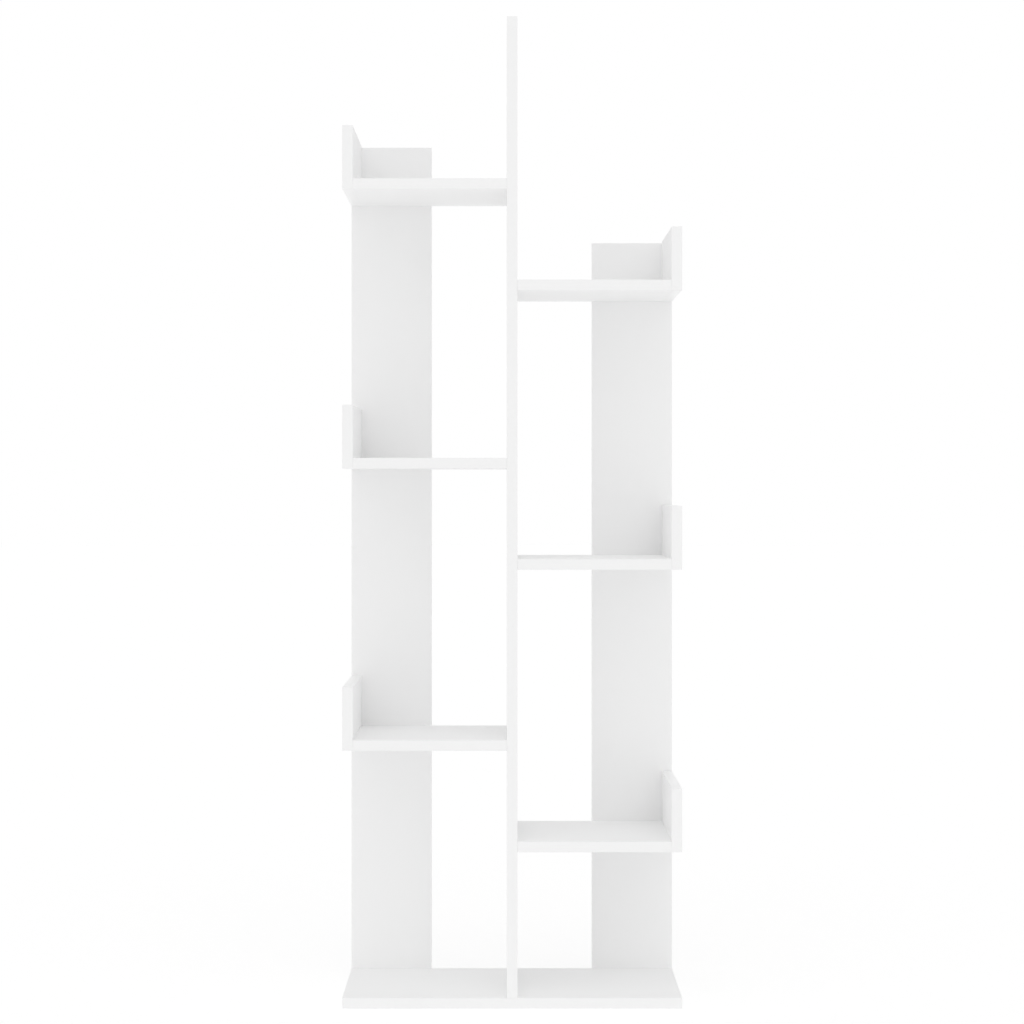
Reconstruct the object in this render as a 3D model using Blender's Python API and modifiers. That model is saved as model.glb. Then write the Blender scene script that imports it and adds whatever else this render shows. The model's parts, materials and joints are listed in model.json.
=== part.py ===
"""Staggered bookcase in white coated chipboard.

A tall centre board stands on a base board. Three shelves leave each side of it at staggered
heights. Each shelf has an upright lip on its outer end, and a narrow back board ties the base,
the shelves and the lips of each side together. Connector screws and dowels hold the joints.

Metres, +Z up, front towards -Y, origin on the floor under the middle of the bookcase.
"""

import math

import bmesh
import bpy
from mathutils import Vector

# Boards
BOARD = 0.015  # thickness of every board
BOARD_DEPTH = 0.240  # front to back, of all but the back boards
SHELF_SPAN = 0.2175  # centre board to end lip
LEFT_FIRST_BAY = 0.3485  # clear height between the base and the lower left shelf
RIGHT_FIRST_BAY = 0.2055
SECOND_BAY = 0.3835  # clear height between the lower and middle shelves of both sides
THIRD_BAY = 0.3795  # clear height between the middle and upper shelves of both sides
CENTRE_RISE = 0.2285  # centre board above the upper left shelf
LIP_RISE = 0.075  # end lip above its shelf
BACK_WIDTH = 0.120
BACK_DROP = 0.0025  # top of a back board below the top of the lip in front of it
EDGE_RADIUS = 0.0005  # rounding of the banded edges
EDGE_STEPS = 2
JOINT_GAP = 0.0003  # left where the end of one board meets the face of another

# Connector screws, without their thread
SCREW_LENGTH = 0.050
HEAD_DIAMETER = 0.0095
HEAD_RIM = 0.001  # straight part of the head, above its cone
HEAD_HEIGHT = 0.0035
SHOULDER_DIAMETER = 0.0065
SHOULDER_END = 0.012  # measured from the top of the head
CORE_DIAMETER = 0.0045
STEP_LENGTH = 0.001  # cone between shoulder and core
TIP_DIAMETER = 0.0016
TIP_LENGTH = 0.003
SOCKET_WIDTH = 0.004  # hexagon, across its flats
SOCKET_DEPTH = 0.003
HEAD_SINK = 0.0004  # top of the head below the face of the board
DRILL_CLEARANCE = 0.0003
DRILL_OVERSHOOT = 0.002  # drill above the face that it enters
SCREW_INSET = 0.040  # from the front and rear edges of a board
BASE_SCREW_INSET = 0.030  # from the side edges of a back board
ROUND_SIDES = 10
SMOOTH_ANGLE = math.radians(35)
MERGE_DISTANCE = 1e-5

# Dowels between the lips and the back boards
DOWEL_DIAMETER = 0.008
DOWEL_LENGTH = 0.030
DOWEL_CHAMFER = 0.001
DOWEL_IN_BACK = 0.010  # depth in the face of the back board

LEVELS = ("lower", "middle", "upper")
X, Y, Z = range(3)
REARWARD = Vector((0.0, 1.0, 0.0))
DOWN = Vector((0.0, 0.0, -1.0))

FRONT_Y = -(BOARD_DEPTH + BOARD) / 2
BACK_Y = FRONT_Y + BOARD_DEPTH  # front face of the back boards
REAR_Y = BACK_Y + BOARD
CENTRE_X = BOARD / 2  # side faces of the centre board, at plus and minus this
LIP_X = CENTRE_X + SHELF_SPAN
OUTER_X = LIP_X + BOARD
BACK_X = OUTER_X - BACK_WIDTH
SCREW_ROWS = {"front": FRONT_Y + SCREW_INSET, "rear": BACK_Y - SCREW_INSET}


def shelf_floor(first_bay, level):
    """Height of a shelf's underside."""
    bays = (first_bay, SECOND_BAY, THIRD_BAY)
    return sum(BOARD + bay for bay in bays[: level + 1])


def clear_scene():
    for obj in list(bpy.data.objects):
        bpy.data.objects.remove(obj)


def new_collection(name, parent):
    collection = bpy.data.collections.new(name)
    parent.children.link(collection)
    return collection


def new_material(name, colour, roughness, metallic=0.0):
    material = bpy.data.materials.new(name)
    material.use_nodes = True
    shader = material.node_tree.nodes["Principled BSDF"]
    shader.inputs["Base Color"].default_value = (*colour, 1.0)
    shader.inputs["Roughness"].default_value = roughness
    shader.inputs["Metallic"].default_value = metallic
    return material


clear_scene()
PARTS = new_collection("bookcase", bpy.context.scene.collection)
CUTTERS = new_collection("cutters", bpy.context.scene.collection)
WHITE = new_material("white_coating", (0.88, 0.88, 0.88), 0.25)
STEEL = new_material("zinc_plated_steel", (0.62, 0.63, 0.64), 0.35, metallic=1.0)
BEECH = new_material("beech", (0.60, 0.42, 0.25), 0.7)


def new_object(name, mesh, collection, material=None):
    obj = bpy.data.objects.new(name, mesh)
    collection.objects.link(obj)
    if material and not mesh.materials:
        mesh.materials.append(material)
    return obj


def evaluated_mesh(obj, name):
    """The mesh that obj's modifiers make, by itself. obj is removed."""
    bpy.context.view_layer.update()
    graph = bpy.context.evaluated_depsgraph_get()
    mesh = bpy.data.meshes.new_from_object(obj.evaluated_get(graph))
    mesh.name = name
    bpy.data.objects.remove(obj)
    return mesh


def turned_mesh(name, profile):
    """A solid of revolution about Z. The profile's (radius, height) points run from top to bottom."""
    mesh = bpy.data.meshes.new(name + "_profile")
    edges = [(i, i + 1) for i in range(len(profile) - 1)]
    mesh.from_pydata([(radius, 0.0, height) for radius, height in profile], edges, [])
    obj = new_object(name + "_profile", mesh, CUTTERS)
    screw = obj.modifiers.new("turn", "SCREW")
    screw.steps = ROUND_SIDES
    screw.render_steps = ROUND_SIDES
    screw.use_merge_vertices = True
    screw.merge_threshold = MERGE_DISTANCE
    return evaluated_mesh(obj, name)


def smooth_round_faces(mesh):
    mesh.shade_smooth()
    mesh.set_sharp_from_angle(angle=SMOOTH_ANGLE)


def screw_profile(clearance=0.0, above=0.0):
    """The outline of a connector screw from the middle of its head's top, grown by a clearance."""
    head = HEAD_DIAMETER / 2 + clearance
    shoulder = SHOULDER_DIAMETER / 2 + clearance
    core = CORE_DIAMETER / 2 + clearance
    return [
        (0.0, above),
        (head, above),
        (head, -HEAD_RIM),
        (shoulder, -HEAD_HEIGHT),
        (shoulder, -SHOULDER_END),
        (core, -SHOULDER_END - STEP_LENGTH),
    ]


def screw_mesh():
    tip = [
        (CORE_DIAMETER / 2, TIP_LENGTH - SCREW_LENGTH),
        (TIP_DIAMETER / 2, -SCREW_LENGTH),
        (0.0, -SCREW_LENGTH),
    ]
    body = new_object("screw_body", turned_mesh("screw_body", screw_profile() + tip), CUTTERS)
    hexagon = bpy.data.meshes.new("screw_socket")
    shape = bmesh.new()
    radius = SOCKET_WIDTH / math.sqrt(3)
    bmesh.ops.create_cone(
        shape, cap_ends=True, segments=6, radius1=radius, radius2=radius, depth=2 * SOCKET_DEPTH
    )
    shape.to_mesh(hexagon)
    shape.free()
    socket = new_object("screw_socket", hexagon, CUTTERS)
    cut = body.modifiers.new("socket", "BOOLEAN")
    cut.object = socket
    mesh = evaluated_mesh(body, "connector_screw")
    bpy.data.objects.remove(socket)
    smooth_round_faces(mesh)
    return mesh


def drill_mesh():
    """The stepped drill that makes a screw's hole through one board and into the next."""
    core = CORE_DIAMETER / 2 + DRILL_CLEARANCE
    bottom = -SCREW_LENGTH - DRILL_CLEARANCE
    profile = screw_profile(DRILL_CLEARANCE, HEAD_SINK + DRILL_OVERSHOOT)
    return turned_mesh("stepped_drill", profile + [(core, bottom), (0.0, bottom)])


def dowel_mesh(name, clearance):
    radius = DOWEL_DIAMETER / 2 + clearance
    half = DOWEL_LENGTH / 2 + clearance
    mesh = turned_mesh(
        name,
        [
            (0.0, half),
            (radius - DOWEL_CHAMFER, half),
            (radius, half - DOWEL_CHAMFER),
            (radius, DOWEL_CHAMFER - half),
            (radius - DOWEL_CHAMFER, -half),
            (0.0, -half),
        ],
    )
    smooth_round_faces(mesh)
    return mesh


SCREW_MESH = screw_mesh()
DRILL_MESH = drill_mesh()
DOWEL_MESH = dowel_mesh("dowel", 0.0)
DOWEL_DRILL_MESH = dowel_mesh("dowel_drill", DRILL_CLEARANCE)


def side_of(face):
    """The (axis, sign) of the side of a block that a face is."""
    axis = max(range(3), key=lambda i: abs(face.normal[i]))
    return axis, math.copysign(1, face.normal[axis])


def block_mesh(name, size, square_sides):
    """A block about the origin, with a bevel weight on each edge that meets no square side."""
    shape = bmesh.new()
    bmesh.ops.create_cube(shape, size=1.0)
    bmesh.ops.scale(shape, vec=size, verts=shape.verts)
    shape.normal_update()
    weight = shape.edges.layers.float.new("bevel_weight_edge")
    for edge in shape.edges:
        meets_square_side = any(side_of(face) in square_sides for face in edge.link_faces)
        edge[weight] = 0.0 if meets_square_side else 1.0
    mesh = bpy.data.meshes.new(name)
    shape.to_mesh(mesh)
    shape.free()
    return mesh


def board(name, x, y, z, butting=()):
    """A board between the two values given for each axis.

    A side in butting, as (axis, sign), meets another board: it stops a joint gap short of it,
    and its edges stay square. The board has a collection of its own for what drills it.
    """
    low = Vector(min(span) for span in (x, y, z))
    high = Vector(max(span) for span in (x, y, z))
    for axis, sign in butting:
        if sign > 0:
            high[axis] -= JOINT_GAP
        else:
            low[axis] += JOINT_GAP
    obj = new_object(name, block_mesh(name, high - low, butting), PARTS, WHITE)
    obj.location = (low + high) / 2
    rounding = obj.modifiers.new("banded_edges", "BEVEL")
    rounding.limit_method = "WEIGHT"
    rounding.width = EDGE_RADIUS
    rounding.segments = EDGE_STEPS
    drilling = obj.modifiers.new("drilling", "BOOLEAN")
    drilling.operand_type = "COLLECTION"
    drilling.collection = new_collection(name + "_drilling", CUTTERS)
    return obj


def place(obj, at, facing):
    """Moves obj's origin to a point, with its +Z along facing."""
    obj.location = at
    obj.rotation_euler = facing.to_track_quat("Z", "Y").to_euler()


def drill(boards, mesh, name, at, facing):
    """Drills the same hole in each of the boards, as one drill passes through both."""
    cutter = bpy.data.objects.new(name + "_hole", mesh)
    place(cutter, at, facing)
    cutter.hide_render = True
    cutter.display_type = "WIRE"
    for drilled in boards:
        drilled.modifiers["drilling"].collection.objects.link(cutter)


def screw(name, boards, on_face, facing):
    """A connector screw whose head lies in the first board's face at on_face."""
    at = on_face - facing * HEAD_SINK
    place(new_object(name, SCREW_MESH, PARTS, STEEL), at, facing)
    drill(boards, DRILL_MESH, name, at, facing)


def dowel(name, boards, at, facing):
    place(new_object(name, DOWEL_MESH, PARTS, BEECH), at, facing)
    drill(boards, DOWEL_DRILL_MESH, name, at, facing)


def build_shelf(name, side, floor, centre, back):
    """A shelf, the lip on its end and what fastens them, on the side given by the sign."""
    top = floor + BOARD
    middle = floor + BOARD / 2
    depth = (FRONT_Y, BACK_Y)
    shelf = board(
        name + "_shelf",
        (side * CENTRE_X, side * LIP_X),
        depth,
        (floor, top),
        butting=[(X, 1), (X, -1), (Y, 1)],
    )
    lip = board(
        name + "_lip",
        (side * LIP_X, side * OUTER_X),
        depth,
        (floor, top + LIP_RISE),
        butting=[(Y, 1)],
    )
    outward = Vector((side, 0.0, 0.0))
    for row, y in SCREW_ROWS.items():
        centre_face = Vector((-side * CENTRE_X, y, middle))
        screw(f"{name}_centre_screw_{row}", [centre, shelf], centre_face, -outward)
        lip_face = Vector((side * OUTER_X, y, middle))
        screw(f"{name}_lip_screw_{row}", [lip, shelf], lip_face, outward)
    behind_shelf = Vector((side * (BACK_X + LIP_X) / 2, REAR_Y, middle))
    screw(name + "_back_screw", [back, shelf], behind_shelf, REARWARD)
    dowel_y = BACK_Y + DOWEL_IN_BACK - DOWEL_LENGTH / 2
    behind_lip = Vector((side * (LIP_X + BOARD / 2), dowel_y, top + LIP_RISE / 2))
    dowel(name + "_lip_dowel", [back, lip], behind_lip, REARWARD)


def build_side(name, side, first_bay, base, centre):
    """The shelves of one side and the back board that ties them together."""
    lip_top = shelf_floor(first_bay, len(LEVELS) - 1) + BOARD + LIP_RISE
    back = board(
        name + "_back_board",
        (side * BACK_X, side * OUTER_X),
        (BACK_Y, REAR_Y),
        (0.0, lip_top - BACK_DROP),
    )
    screw_places = {"inner": BACK_X + BASE_SCREW_INSET, "outer": OUTER_X - BASE_SCREW_INSET}
    for place_name, x in screw_places.items():
        behind_base = Vector((side * x, REAR_Y, BOARD / 2))
        screw(f"{name}_base_screw_{place_name}", [back, base], behind_base, REARWARD)
    for level, level_name in enumerate(LEVELS):
        build_shelf(f"{name}_{level_name}", side, shelf_floor(first_bay, level), centre, back)


def build():
    depth = (FRONT_Y, BACK_Y)
    base = board("base_board", (-OUTER_X, OUTER_X), depth, (0.0, BOARD), butting=[(Y, 1)])
    centre_top = shelf_floor(LEFT_FIRST_BAY, len(LEVELS) - 1) + BOARD + CENTRE_RISE
    centre = board(
        "centre_board", (-CENTRE_X, CENTRE_X), depth, (BOARD, centre_top), butting=[(Z, -1)]
    )
    for row, y in SCREW_ROWS.items():
        under_base = Vector((0.0, y, 0.0))
        screw(f"centre_base_screw_{row}", [base, centre], under_base, DOWN)
    build_side("left", -1, LEFT_FIRST_BAY, base, centre)
    build_side("right", 1, RIGHT_FIRST_BAY, base, centre)


build()
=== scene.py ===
"""The looks of a staggered bookcase in white coated chipboard, round its fixed frame.

Every board, screw and dowel of the frame gets a finer piece in the same place: boards with
laminated faces, banded edges and drilled holes with bare chipboard inside, screws with a
thread and fluted dowels. Metres, +Z up, front towards -Y.
"""

import json
import math

import bmesh
import bpy
from mathutils import Matrix, Vector


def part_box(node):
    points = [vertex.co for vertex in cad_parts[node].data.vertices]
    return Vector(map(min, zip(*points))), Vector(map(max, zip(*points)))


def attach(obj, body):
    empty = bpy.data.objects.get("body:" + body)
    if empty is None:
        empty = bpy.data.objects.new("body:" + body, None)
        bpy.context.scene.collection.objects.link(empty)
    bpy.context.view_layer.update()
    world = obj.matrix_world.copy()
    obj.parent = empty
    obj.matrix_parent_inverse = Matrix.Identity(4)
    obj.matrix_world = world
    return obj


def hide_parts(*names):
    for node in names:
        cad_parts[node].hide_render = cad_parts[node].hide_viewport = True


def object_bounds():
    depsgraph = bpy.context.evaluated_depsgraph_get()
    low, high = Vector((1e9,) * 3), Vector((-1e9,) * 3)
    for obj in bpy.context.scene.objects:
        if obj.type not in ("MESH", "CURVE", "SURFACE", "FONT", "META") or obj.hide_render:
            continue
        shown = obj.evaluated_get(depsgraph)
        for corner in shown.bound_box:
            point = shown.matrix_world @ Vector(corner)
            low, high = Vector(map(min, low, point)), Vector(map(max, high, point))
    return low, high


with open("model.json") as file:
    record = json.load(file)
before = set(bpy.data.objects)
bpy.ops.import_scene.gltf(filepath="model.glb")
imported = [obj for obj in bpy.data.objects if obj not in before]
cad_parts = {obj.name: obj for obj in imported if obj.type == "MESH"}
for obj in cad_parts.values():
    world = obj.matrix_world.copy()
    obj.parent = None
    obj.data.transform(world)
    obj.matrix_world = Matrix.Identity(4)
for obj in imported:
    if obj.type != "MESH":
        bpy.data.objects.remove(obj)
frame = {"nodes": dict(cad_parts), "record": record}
cad_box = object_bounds()

AXES = range(3)
X, Y, Z = AXES
WHITE = (1.0, 1.0, 1.0, 1.0)
MICROMETRE_DIGITS = 6  # decimals of a metre

# Material slots of the record
BOARD_SLOT = "white_coating"
SCREW_SLOT = "zinc_plated_steel"
DOWEL_SLOT = "beech"

# Camera, level and almost straight in front of the bookcase
CAMERA_DISTANCE = 3.870  # from the front of the boards
CAMERA_HEIGHT = 0.738
CAMERA_LEFT = 0.0101  # of the middle of the bookcase
LEVEL = math.radians(90)
LENS_MM = 96.45
SENSOR_MM = 36.0
PICTURE_SIDE = 1024  # pixels
HORIZON_ABOVE_MIDDLE = 26.5  # pixels
AXIS_LEFT_OF_MIDDLE = 7.0  # pixels

# Soft light from all round, strongest from high in front
FILL_LIGHT = 0.436
SIDE_LIGHT = 0.458
BACK_LIGHT = 0.25
KEY_LIGHT = 0.703
KEY_DIRECTION = (0.0, -1.0, 1.0)
KEY_NARROWNESS = 4.0
SEEN_WHITE = 1.0  # that the camera and reflections see all round

# Floor
FLOOR_SIDE = 60.0
FLOOR_SINK = 0.00002
FLOOR_COLOUR = (0.60, 0.60, 0.60, 1.0)
FLOOR_ROUGHNESS = 0.9
FLOOR_GLOW = 0.440  # that lights the bookcase
FLOOR_SEEN_GLOW = 0.491  # that the camera and reflections see

# Boards
EDGE_RADIUS = 0.0005
EDGE_STEPS = 4
ROUND_PROFILE = 0.5  # of a bevel whose section is a quarter circle
BAND_THICKNESS = 0.00045
FRAME_GAP = 0.0003  # that the frame leaves between boards
SEAT_GAP = 0.00002  # that the finished boards leave
HOLE_CLEARANCE = 0.0003

# Connector screws
HEAD_CHAMFER = 0.0003
HEAD_RIM = 0.001
HEAD_HEIGHT = 0.0035
SHOULDER_RADIUS = 0.00325
SHOULDER_END = 0.012
CORE_RADIUS = 0.00225
STEP_LENGTH = 0.001
TIP_RADIUS = 0.0008
TIP_LENGTH = 0.003
SOCKET_WIDTH = 0.004  # across its flats
SOCKET_DEPTH = 0.003
THREAD_RADIUS = 0.0032
THREAD_ROOT = 0.9 * CORE_RADIUS  # where the ridge starts, inside the core
THREAD_PITCH = 0.003
THREAD_FOOT = 0.0018  # width of the ridge where it starts
THREAD_CREST = 0.0003
THREAD_END = 0.05  # share of the ridge's height that is left at its two ends
THREAD_STEPS = 14  # in each turn

# Dowels
FLUTES = 18
FLUTE_DEPTH = 0.00035
DOWEL_CHAMFER = 0.001

# Round solids
ROUND_SIDES = 32
MERGE_DISTANCE = 0.000001
SMOOTH_ANGLE = math.radians(32)  # most between faces that are shaded as one surface

# Patterns. A scale is about how many of a pattern's features fit in a metre.
NOISE_SPAN = (0.3, 0.7)  # that most of a noise's values lie in
LAMINATE_COLOURS = ((0.944, 0.944, 0.944), (0.956, 0.956, 0.956))
LAMINATE_CLOUD_SCALE = 5.0
LAMINATE_SMEAR_SCALE = (30.0, 30.0, 8.0)
LAMINATE_PEARL_SCALE = 700.0
LAMINATE_GRIT_SCALE = 2200.0
LAMINATE_GRIT_SHARE = 0.3
LAMINATE_ROUGHNESS = (0.55, 0.65)
LAMINATE_SPECULAR = 0.2
LAMINATE_BUMP = 0.000004
BAND_COLOURS = ((0.936, 0.936, 0.936), (0.946, 0.946, 0.946))
BAND_CLOUD_SCALE = 9.0
BAND_CHATTER_SCALE = 260.0
BAND_ROUGHNESS = (0.30, 0.36)
BAND_BUMP = 0.000002
CHIP_COLOURS = ((0.30, 0.19, 0.10), (0.62, 0.46, 0.29))
CHIP_SCALE = 420.0
CHIP_ROUGHNESS = (0.78, 0.95)
CHIP_BUMP = 0.0003
ZINC_COLOURS = ((0.56, 0.57, 0.58), (0.70, 0.70, 0.69))
ZINC_CLOUD_SCALE = 350.0
ZINC_GRAIN_SCALE = 2600.0
ZINC_ROUGHNESS = (0.22, 0.42)
ZINC_BUMP = 0.000008
BEECH_COLOURS = ((0.50, 0.32, 0.17), (0.68, 0.49, 0.30))
BEECH_GRAIN_SCALE = (900.0, 900.0, 60.0)  # long in Z, along the dowel
BEECH_FLECK_SCALE = (1800.0, 1800.0, 260.0)
BEECH_ROUGHNESS = (0.6, 0.8)
BEECH_BUMP = 0.00005

LAMINATE, BAND, CORE = range(3)  # places in a board's list of materials


def new_object(name, data):
    obj = bpy.data.objects.new(name, data)
    bpy.context.scene.collection.objects.link(obj)
    return obj


def feed(tree, node, inputs):
    """Gives each input of a node its value, or the socket that feeds it."""
    for name, value in inputs.items():
        if isinstance(value, bpy.types.NodeSocket):
            tree.links.new(value, node.inputs[name])
        else:
            node.inputs[name].default_value = value


def add_node(tree, kind, inputs=None, **settings):
    node = tree.nodes.new(kind)
    for name, value in settings.items():
        setattr(node, name, value)
    feed(tree, node, inputs or {})
    return node


def object_place(tree):
    """The place of a point in its piece's own space."""
    return add_node(tree, "ShaderNodeTexCoord").outputs["Object"]


def noise(tree, place, scale, detail):
    inputs = {"Vector": place, "Scale": scale, "Detail": detail}
    return add_node(tree, "ShaderNodeTexNoise", inputs).outputs["Fac"]


def stretched_noise(tree, place, scales, detail):
    """Noise with a scale of its own along each axis."""
    stretched = add_node(tree, "ShaderNodeMapping", {"Vector": place, "Scale": scales})
    return noise(tree, stretched.outputs["Vector"], 1.0, detail)


def spread(tree, value, low, high, start=0.0, end=1.0):
    """value, from start to end, mapped to low to high."""
    inputs = {"Value": value, "From Min": start, "From Max": end, "To Min": low, "To Max": high}
    return add_node(tree, "ShaderNodeMapRange", inputs, clamp=True).outputs["Result"]


def combine(tree, operation, *values):
    node = add_node(tree, "ShaderNodeMath", dict(enumerate(values)), operation=operation)
    return node.outputs["Value"]


def blend_colours(tree, factor, first, second):
    """A mix of two colours. The node has sockets for other kinds of values too."""
    node = add_node(tree, "ShaderNodeMix", {"Factor": factor}, data_type="RGBA")
    sockets = [socket for socket in node.inputs if socket.type == "RGBA"]
    for socket, colour in zip(sockets, (first, second)):
        socket.default_value = (*colour, 1.0)
    return next(socket for socket in node.outputs if socket.type == "RGBA")


def bump(tree, height, distance):
    inputs = {"Height": height, "Distance": distance}
    return add_node(tree, "ShaderNodeBump", inputs).outputs["Normal"]


def new_material(name, looks):
    """A material whose shader takes the inputs that looks makes in its tree."""
    material = bpy.data.materials.new(name)
    material.use_nodes = True
    tree = material.node_tree
    feed(tree, tree.nodes["Principled BSDF"], looks(tree))
    return material


def laminate_looks(tree):
    """Melamine paper pressed to a satin, pearled face."""
    place = object_place(tree)
    cloud = noise(tree, place, LAMINATE_CLOUD_SCALE, detail=3.0)
    smear = stretched_noise(tree, place, LAMINATE_SMEAR_SCALE, detail=3.0)
    pearl = noise(tree, place, LAMINATE_PEARL_SCALE, detail=1.0)
    grit = noise(tree, place, LAMINATE_GRIT_SCALE, detail=1.0)
    height = combine(tree, "ADD", pearl, combine(tree, "MULTIPLY", grit, LAMINATE_GRIT_SHARE))
    return {
        "Base Color": blend_colours(tree, cloud, *LAMINATE_COLOURS),
        "Roughness": spread(tree, smear, *LAMINATE_ROUGHNESS, *NOISE_SPAN),
        "Specular IOR Level": LAMINATE_SPECULAR,
        "Normal": bump(tree, height, LAMINATE_BUMP),
    }


def band_looks(tree):
    """The thin strip ironed on the edges, smoother than the faces."""
    place = object_place(tree)
    cloud = noise(tree, place, BAND_CLOUD_SCALE, detail=2.0)
    chatter = noise(tree, place, BAND_CHATTER_SCALE, detail=1.0)
    return {
        "Base Color": blend_colours(tree, cloud, *BAND_COLOURS),
        "Roughness": spread(tree, chatter, *BAND_ROUGHNESS, *NOISE_SPAN),
        "Normal": bump(tree, chatter, BAND_BUMP),
    }


def chipboard_looks(tree):
    """Bare chipboard: pressed chips of several browns with pores between them."""
    inputs = {"Vector": object_place(tree), "Scale": CHIP_SCALE}
    chips = add_node(tree, "ShaderNodeTexVoronoi", inputs)
    shade = add_node(tree, "ShaderNodeSeparateColor", {"Color": chips.outputs["Color"]})
    pores = chips.outputs["Distance"]
    return {
        "Base Color": blend_colours(tree, shade.outputs["Red"], *CHIP_COLOURS),
        "Roughness": spread(tree, pores, *CHIP_ROUGHNESS),
        "Normal": bump(tree, pores, CHIP_BUMP),
    }


def zinc_looks(tree):
    """Bright zinc plating, faintly clouded."""
    place = object_place(tree)
    cloud = noise(tree, place, ZINC_CLOUD_SCALE, detail=3.0)
    grain = noise(tree, place, ZINC_GRAIN_SCALE, detail=2.0)
    return {
        "Base Color": blend_colours(tree, cloud, *ZINC_COLOURS),
        "Metallic": 1.0,
        "Roughness": spread(tree, cloud, *ZINC_ROUGHNESS, *NOISE_SPAN),
        "Normal": bump(tree, grain, ZINC_BUMP),
    }


def beech_looks(tree):
    """Pale beech with short dark flecks along the grain."""
    place = object_place(tree)
    grain = stretched_noise(tree, place, BEECH_GRAIN_SCALE, detail=3.0)
    flecks = stretched_noise(tree, place, BEECH_FLECK_SCALE, detail=1.0)
    return {
        "Base Color": blend_colours(tree, grain, *BEECH_COLOURS),
        "Roughness": spread(tree, flecks, *BEECH_ROUGHNESS),
        "Normal": bump(tree, flecks, BEECH_BUMP),
    }


def where_seen(tree, light, seen):
    """seen for rays from the camera, in a reflection or through glass, and light for all others."""
    path = add_node(tree, "ShaderNodeLightPath")
    factor = combine(tree, "MAXIMUM", path.outputs["Is Camera Ray"], path.outputs["Is Glossy Ray"])
    factor = combine(tree, "MAXIMUM", factor, path.outputs["Is Transmission Ray"])
    return spread(tree, factor, light, seen)


def floor_looks(tree):
    """A plain grey that glows, so that it looks white and lights the bookcase from below."""
    return {
        "Base Color": FLOOR_COLOUR,
        "Roughness": FLOOR_ROUGHNESS,
        "Specular IOR Level": 0.0,
        "Emission Color": WHITE,
        "Emission Strength": where_seen(tree, FLOOR_GLOW, FLOOR_SEEN_GLOW),
    }


def finished_mesh(obj, name):
    """The mesh that obj's modifiers make, by itself. obj is removed."""
    bpy.context.view_layer.update()
    graph = bpy.context.evaluated_depsgraph_get()
    mesh = bpy.data.meshes.new_from_object(obj.evaluated_get(graph))
    mesh.name = name
    bpy.data.objects.remove(obj)
    return mesh


def mesh_from(name, build, *arguments):
    """The mesh that build makes from an empty shape."""
    shape = bmesh.new()
    build(shape, *arguments)
    mesh = bpy.data.meshes.new(name)
    shape.to_mesh(mesh)
    shape.free()
    return mesh


def turned_mesh(name, profile):
    """A solid of revolution about Z. The profile's (radius, height) points run downwards."""
    mesh = bpy.data.meshes.new(name + "_profile")
    edges = [(i, i + 1) for i in range(len(profile) - 1)]
    mesh.from_pydata([(radius, 0.0, height) for radius, height in profile], edges, [])
    obj = new_object(name + "_profile", mesh)
    turn = obj.modifiers.new("turn", "SCREW")
    turn.steps = ROUND_SIDES
    turn.render_steps = ROUND_SIDES
    turn.use_merge_vertices = True
    turn.merge_threshold = MERGE_DISTANCE
    return finished_mesh(obj, name)


def loft_rings(shape, rings):
    """Joins rings of as many points each, one after the other, into a closed solid."""
    loops = [[shape.verts.new(point) for point in ring] for ring in rings]
    for first, second in zip(loops, loops[1:]):
        for i in range(len(first)):
            j = (i + 1) % len(first)
            shape.faces.new((first[i], first[j], second[j], second[i]))
    shape.faces.new(reversed(loops[0]))
    shape.faces.new(loops[-1])
    bmesh.ops.recalc_face_normals(shape, faces=shape.faces)


def boolean(obj, operation, mesh):
    """Joins or cuts obj with a mesh at the same place."""
    other = new_object(mesh.name, mesh)
    modifier = obj.modifiers.new(mesh.name, "BOOLEAN")
    modifier.operation = operation
    modifier.object = other
    return other


def smooth(mesh):
    mesh.shade_smooth()
    mesh.set_sharp_from_angle(angle=SMOOTH_ANGLE)


def thread_ridge(shape, top, bottom):
    """A right-handed ridge down the core from top to bottom, which runs out at both ends."""
    turns = (top - bottom) / THREAD_PITCH
    count = round(turns * THREAD_STEPS)
    rings = []
    for i in range(count + 1):
        angle = -2 * math.pi * i / THREAD_STEPS
        height = top - THREAD_PITCH * i / THREAD_STEPS
        grown = min(1.0, i / THREAD_STEPS, (count - i) / THREAD_STEPS)
        crest = THREAD_ROOT + (THREAD_RADIUS - THREAD_ROOT) * max(grown, THREAD_END)
        section = [
            (THREAD_ROOT, THREAD_FOOT / 2),
            (crest, THREAD_CREST / 2),
            (crest, -THREAD_CREST / 2),
            (THREAD_ROOT, -THREAD_FOOT / 2),
        ]
        rings.append([(r * math.cos(angle), r * math.sin(angle), height + z) for r, z in section])
    loft_rings(shape, rings)


def hexagon(shape):
    """What the socket takes out of a screw: as far above the head as into it."""
    radius = SOCKET_WIDTH / math.sqrt(3)
    bmesh.ops.create_cone(
        shape, cap_ends=True, segments=6, radius1=radius, radius2=radius, depth=2 * SOCKET_DEPTH
    )


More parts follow.
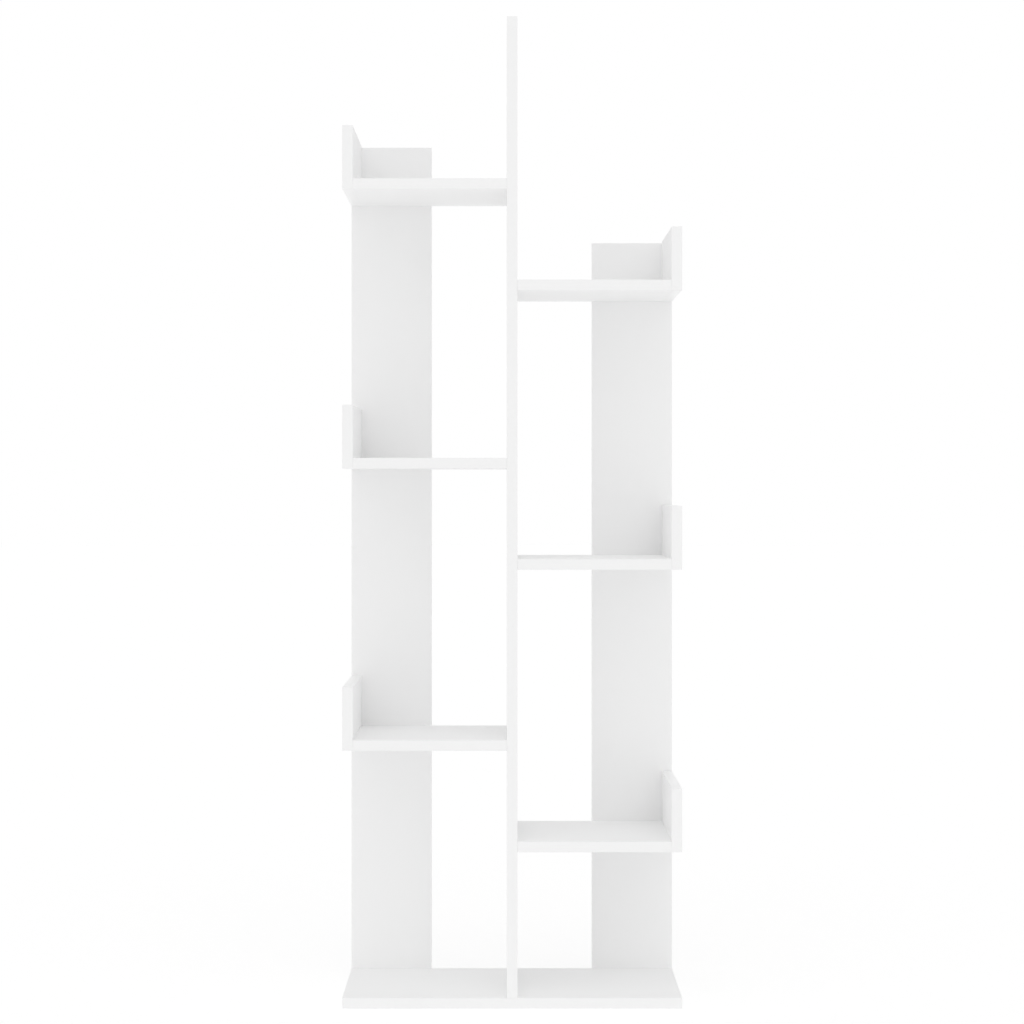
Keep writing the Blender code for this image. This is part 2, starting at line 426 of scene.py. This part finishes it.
def screw_mesh(length, head_radius):
    """A connector screw with the middle of its head's top at the origin, pointing down."""
    step_end = -SHOULDER_END - STEP_LENGTH
    tip_start = TIP_LENGTH - length
    profile = [
        (0.0, 0.0),
        (head_radius - HEAD_CHAMFER, 0.0),
        (head_radius, -HEAD_CHAMFER),
        (head_radius, -HEAD_RIM),
        (SHOULDER_RADIUS, -HEAD_HEIGHT),
        (SHOULDER_RADIUS, -SHOULDER_END),
        (CORE_RADIUS, step_end),
        (CORE_RADIUS, tip_start),
        (TIP_RADIUS, -length),
        (0.0, -length),
    ]
    obj = new_object("screw_body", turned_mesh("screw_body", profile))
    tools = [
        boolean(obj, "UNION", mesh_from("thread", thread_ridge, step_end - THREAD_FOOT, tip_start)),
        boolean(obj, "DIFFERENCE", mesh_from("socket", hexagon)),
    ]
    mesh = finished_mesh(obj, "connector_screw")
    for tool in tools:
        bpy.data.objects.remove(tool)
    smooth(mesh)
    return mesh


def screw_drill(length, head_radius):
    """What a screw's hole takes out of the boards, from a head's height above its head."""
    head = head_radius + HOLE_CLEARANCE
    shank = SHOULDER_RADIUS + HOLE_CLEARANCE
    profile = [
        (0.0, HEAD_HEIGHT),
        (head, HEAD_HEIGHT),
        (head, -HEAD_RIM),
        (shank, -HEAD_HEIGHT - HOLE_CLEARANCE),
        (shank, -length - HOLE_CLEARANCE),
        (0.0, -length - HOLE_CLEARANCE),
    ]
    return turned_mesh("screw_drill", profile)


def fluted_rod(shape, length, radius):
    """A rod along Z, with grooves all round and chamfered ends."""

    def ring(height, inset):
        points = []
        for i in range(2 * FLUTES):
            angle = math.pi * i / FLUTES
            r = radius - inset - (FLUTE_DEPTH if i % 2 else 0.0)
            points.append((r * math.cos(angle), r * math.sin(angle), height))
        return points

    half = length / 2
    rings = [ring(half, DOWEL_CHAMFER), ring(half - DOWEL_CHAMFER, 0.0)]
    rings += [ring(DOWEL_CHAMFER - half, 0.0), ring(-half, DOWEL_CHAMFER)]
    loft_rings(shape, rings)


def round_rod(shape, length, radius):
    bmesh.ops.create_cone(
        shape, cap_ends=True, segments=ROUND_SIDES, radius1=radius, radius2=radius, depth=length
    )


def dowel_drill(length, radius):
    """What a dowel's hole takes out of the boards."""
    sizes = (length + 2 * HOLE_CLEARANCE, radius + HOLE_CLEARANCE)
    return mesh_from("dowel_drill", round_rod, *sizes)


def side_of(face):
    """The (axis, sign) of the side of a block that a face is."""
    axis = max(AXES, key=lambda i: abs(face.normal[i]))
    return axis, math.copysign(1, face.normal[axis])


def seated_sides(node):
    """The sides of a board that stop a gap short of another board, and those left bare."""
    if node.endswith("_shelf"):
        return [(X, 1), (X, -1), (Y, 1)], [(X, 1), (X, -1)]
    if node == "centre_board":
        return [(Z, -1)], [(Z, -1)]
    if node.endswith("_lip") or node == "base_board":
        return [(Y, 1)], []
    return [], []


def banded_block(shape, node):
    """A board without holes: laminate on its two faces, and a band round its edges.

    A bare end shows the core and the band's thickness round it.
    """
    seated, bare = seated_sides(node)
    low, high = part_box(node)
    for axis, sign in seated:
        grown = high if sign > 0 else low
        grown[axis] += sign * (FRAME_GAP - SEAT_GAP)
    size = high - low
    thin = min(AXES, key=lambda i: size[i])
    bmesh.ops.create_cube(shape, size=1.0)
    bmesh.ops.scale(shape, vec=size, verts=shape.verts)
    bmesh.ops.translate(shape, vec=(low + high) / 2, verts=shape.verts)
    shape.normal_update()
    for face in shape.faces:
        face.material_index = LAMINATE if side_of(face)[0] == thin else BAND
        if side_of(face) in bare:
            face.material_index = CORE
    rounded = [
        edge for edge in shape.edges if not any(side_of(face) in seated for face in edge.link_faces)
    ]
    bmesh.ops.bevel(
        shape,
        geom=rounded,
        offset=EDGE_RADIUS,
        segments=EDGE_STEPS,
        profile=ROUND_PROFILE,
        affect="EDGES",
        material=BAND,
    )
    ends = [face for face in shape.faces if face.material_index == CORE]
    rims = bmesh.ops.inset_individual(
        shape, faces=ends, thickness=BAND_THICKNESS, use_even_offset=True
    )
    for face in rims["faces"]:
        face.material_index = BAND


def board_mesh(node, materials, drills):
    """A board in its place, with its laminate, its bands and its holes."""
    block = mesh_from(node + "_block", banded_block, node)
    for material in materials:
        block.materials.append(material)
    obj = new_object(node + "_block", block)
    drilling = obj.modifiers.new("drilling", "BOOLEAN")
    drilling.operand_type = "COLLECTION"
    drilling.collection = bpy.data.collections.new(node + "_drilling")
    for drill in drills:
        drilling.collection.objects.link(drill)
    mesh = finished_mesh(obj, node + "_finished")
    smooth(mesh)
    return mesh


def add_piece(name, mesh, node, place=Matrix()):
    piece = new_object(name, mesh)
    piece.matrix_world = place
    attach(piece, "root")
    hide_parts(node)


class Fastener:
    """A screw or dowel of the frame: where it lies and which way its head faces.

    A dowel's ends are alike, and either may count as its head.
    """

    def __init__(self, node):
        self.node = node
        self.low, self.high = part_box(node)
        size = self.high - self.low
        axis = max(AXES, key=lambda i: size[i])
        across = [i for i in AXES if i != axis]
        self.length = size[axis]
        self.radius = min(size) / 2
        self.middle = (self.low + self.high) / 2

        def reach(point):
            """How far a point is from the fastener's axis, to the micrometre."""
            return round(math.hypot(*(point[i] for i in across)), MICROMETRE_DIGITS)

        points = [vertex.co - self.middle for vertex in frame["nodes"][node].data.vertices]
        widest = max(points, key=reach)
        self.facing = Vector()
        self.facing[axis] = math.copysign(1.0, widest[axis])
        self.head = self.middle + self.facing * self.length / 2

    def dress(self, origin, mesh, suffix, slot, drill_mesh):
        """Adds the fastener's piece, and the drill that makes its hole, both at origin."""
        turn = self.facing.to_track_quat("Z", "Y").to_matrix().to_4x4()
        place = Matrix.Translation(origin) @ turn
        add_piece(self.node + suffix, mesh, self.node, place)
        self.drill = bpy.data.objects.new(self.node + "_hole", drill_mesh)
        self.drill.matrix_world = place

    def meets(self, board):
        low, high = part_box(board)
        return all(self.low[i] < high[i] and self.high[i] > low[i] for i in AXES)


def nodes_of(slot):
    parts = frame["record"]["subparts"]
    return sorted(part["node"] for part in parts if part["material_slot"] == slot)


def build_pieces():
    """A piece for each part. All screws share one mesh, and so do all dowels."""
    materials = [
        new_material("white_laminate", laminate_looks),
        new_material("white_edge_band", band_looks),
        new_material("chipboard_core", chipboard_looks),
    ]
    screws = [Fastener(node) for node in nodes_of(SCREW_SLOT)]
    dowels = [Fastener(node) for node in nodes_of(DOWEL_SLOT)]
    screw_sizes = screws[0].length, screws[0].radius
    dowel_sizes = dowels[0].length, dowels[0].radius
    screw = screw_mesh(*screw_sizes)
    screw.materials.append(new_material("zinc_plating", zinc_looks))
    dowel = mesh_from("fluted_dowel", fluted_rod, *dowel_sizes)
    dowel.materials.append(new_material("beech_dowel", beech_looks))
    screw_hole = screw_drill(*screw_sizes)
    dowel_hole = dowel_drill(*dowel_sizes)
    for hole in (screw_hole, dowel_hole):
        for face in hole.polygons:
            face.material_index = CORE

    for fastener in screws:
        fastener.dress(fastener.head, screw, "_threaded", SCREW_SLOT, screw_hole)
    for fastener in dowels:
        fastener.dress(fastener.middle, dowel, "_fluted", DOWEL_SLOT, dowel_hole)
    for board in nodes_of(BOARD_SLOT):
        drills = [fastener.drill for fastener in screws + dowels if fastener.meets(board)]
        add_piece(board + "_finished", board_mesh(board, materials, drills), board)
    for fastener in screws + dowels:
        bpy.data.objects.remove(fastener.drill)


def studio_light(tree):
    """The light that comes from each direction."""
    direction = add_node(tree, "ShaderNodeTexCoord").outputs["Generated"]
    parts = add_node(tree, "ShaderNodeSeparateXYZ", {"Vector": direction}).outputs
    inputs = {0: direction, 1: Vector(KEY_DIRECTION).normalized()}
    key = add_node(tree, "ShaderNodeVectorMath", inputs, operation="DOT_PRODUCT").outputs["Value"]
    lobes = [
        (combine(tree, "ABSOLUTE", parts["X"]), SIDE_LIGHT),
        (combine(tree, "MAXIMUM", parts["Y"], 0.0), BACK_LIGHT),
        (combine(tree, "POWER", combine(tree, "MAXIMUM", key, 0.0), KEY_NARROWNESS), KEY_LIGHT),
    ]
    light = FILL_LIGHT
    for lobe, strength in lobes:
        light = combine(tree, "ADD", combine(tree, "MULTIPLY", lobe, strength), light)
    return light


def light_world():
    world = bpy.data.worlds.new("studio")
    bpy.context.scene.world = world
    world.use_nodes = True
    tree = world.node_tree
    strength = where_seen(tree, studio_light(tree), SEEN_WHITE)
    feed(tree, tree.nodes["Background"], {"Color": WHITE, "Strength": strength})


def floor_square(shape):
    bmesh.ops.create_grid(shape, x_segments=1, y_segments=1, size=FLOOR_SIDE / 2)


def lay_floor():
    floor = new_object("floor", mesh_from("floor", floor_square))
    floor.location.z = -FLOOR_SINK
    floor.data.materials.append(new_material("pale_floor", floor_looks))


def aim_camera():
    data = bpy.data.cameras.new("camera")
    data.sensor_width = SENSOR_MM
    data.lens = LENS_MM
    data.shift_x = AXIS_LEFT_OF_MIDDLE / PICTURE_SIDE
    data.shift_y = -HORIZON_ABOVE_MIDDLE / PICTURE_SIDE
    camera = new_object("camera", data)
    camera.location = (-CAMERA_LEFT, cad_box[0].y - CAMERA_DISTANCE, CAMERA_HEIGHT)
    camera.rotation_euler = (LEVEL, 0.0, 0.0)
    bpy.context.scene.camera = camera


aim_camera()
build_pieces()
light_world()
lay_floor()
bpy.context.scene.view_settings.view_transform = "Standard"
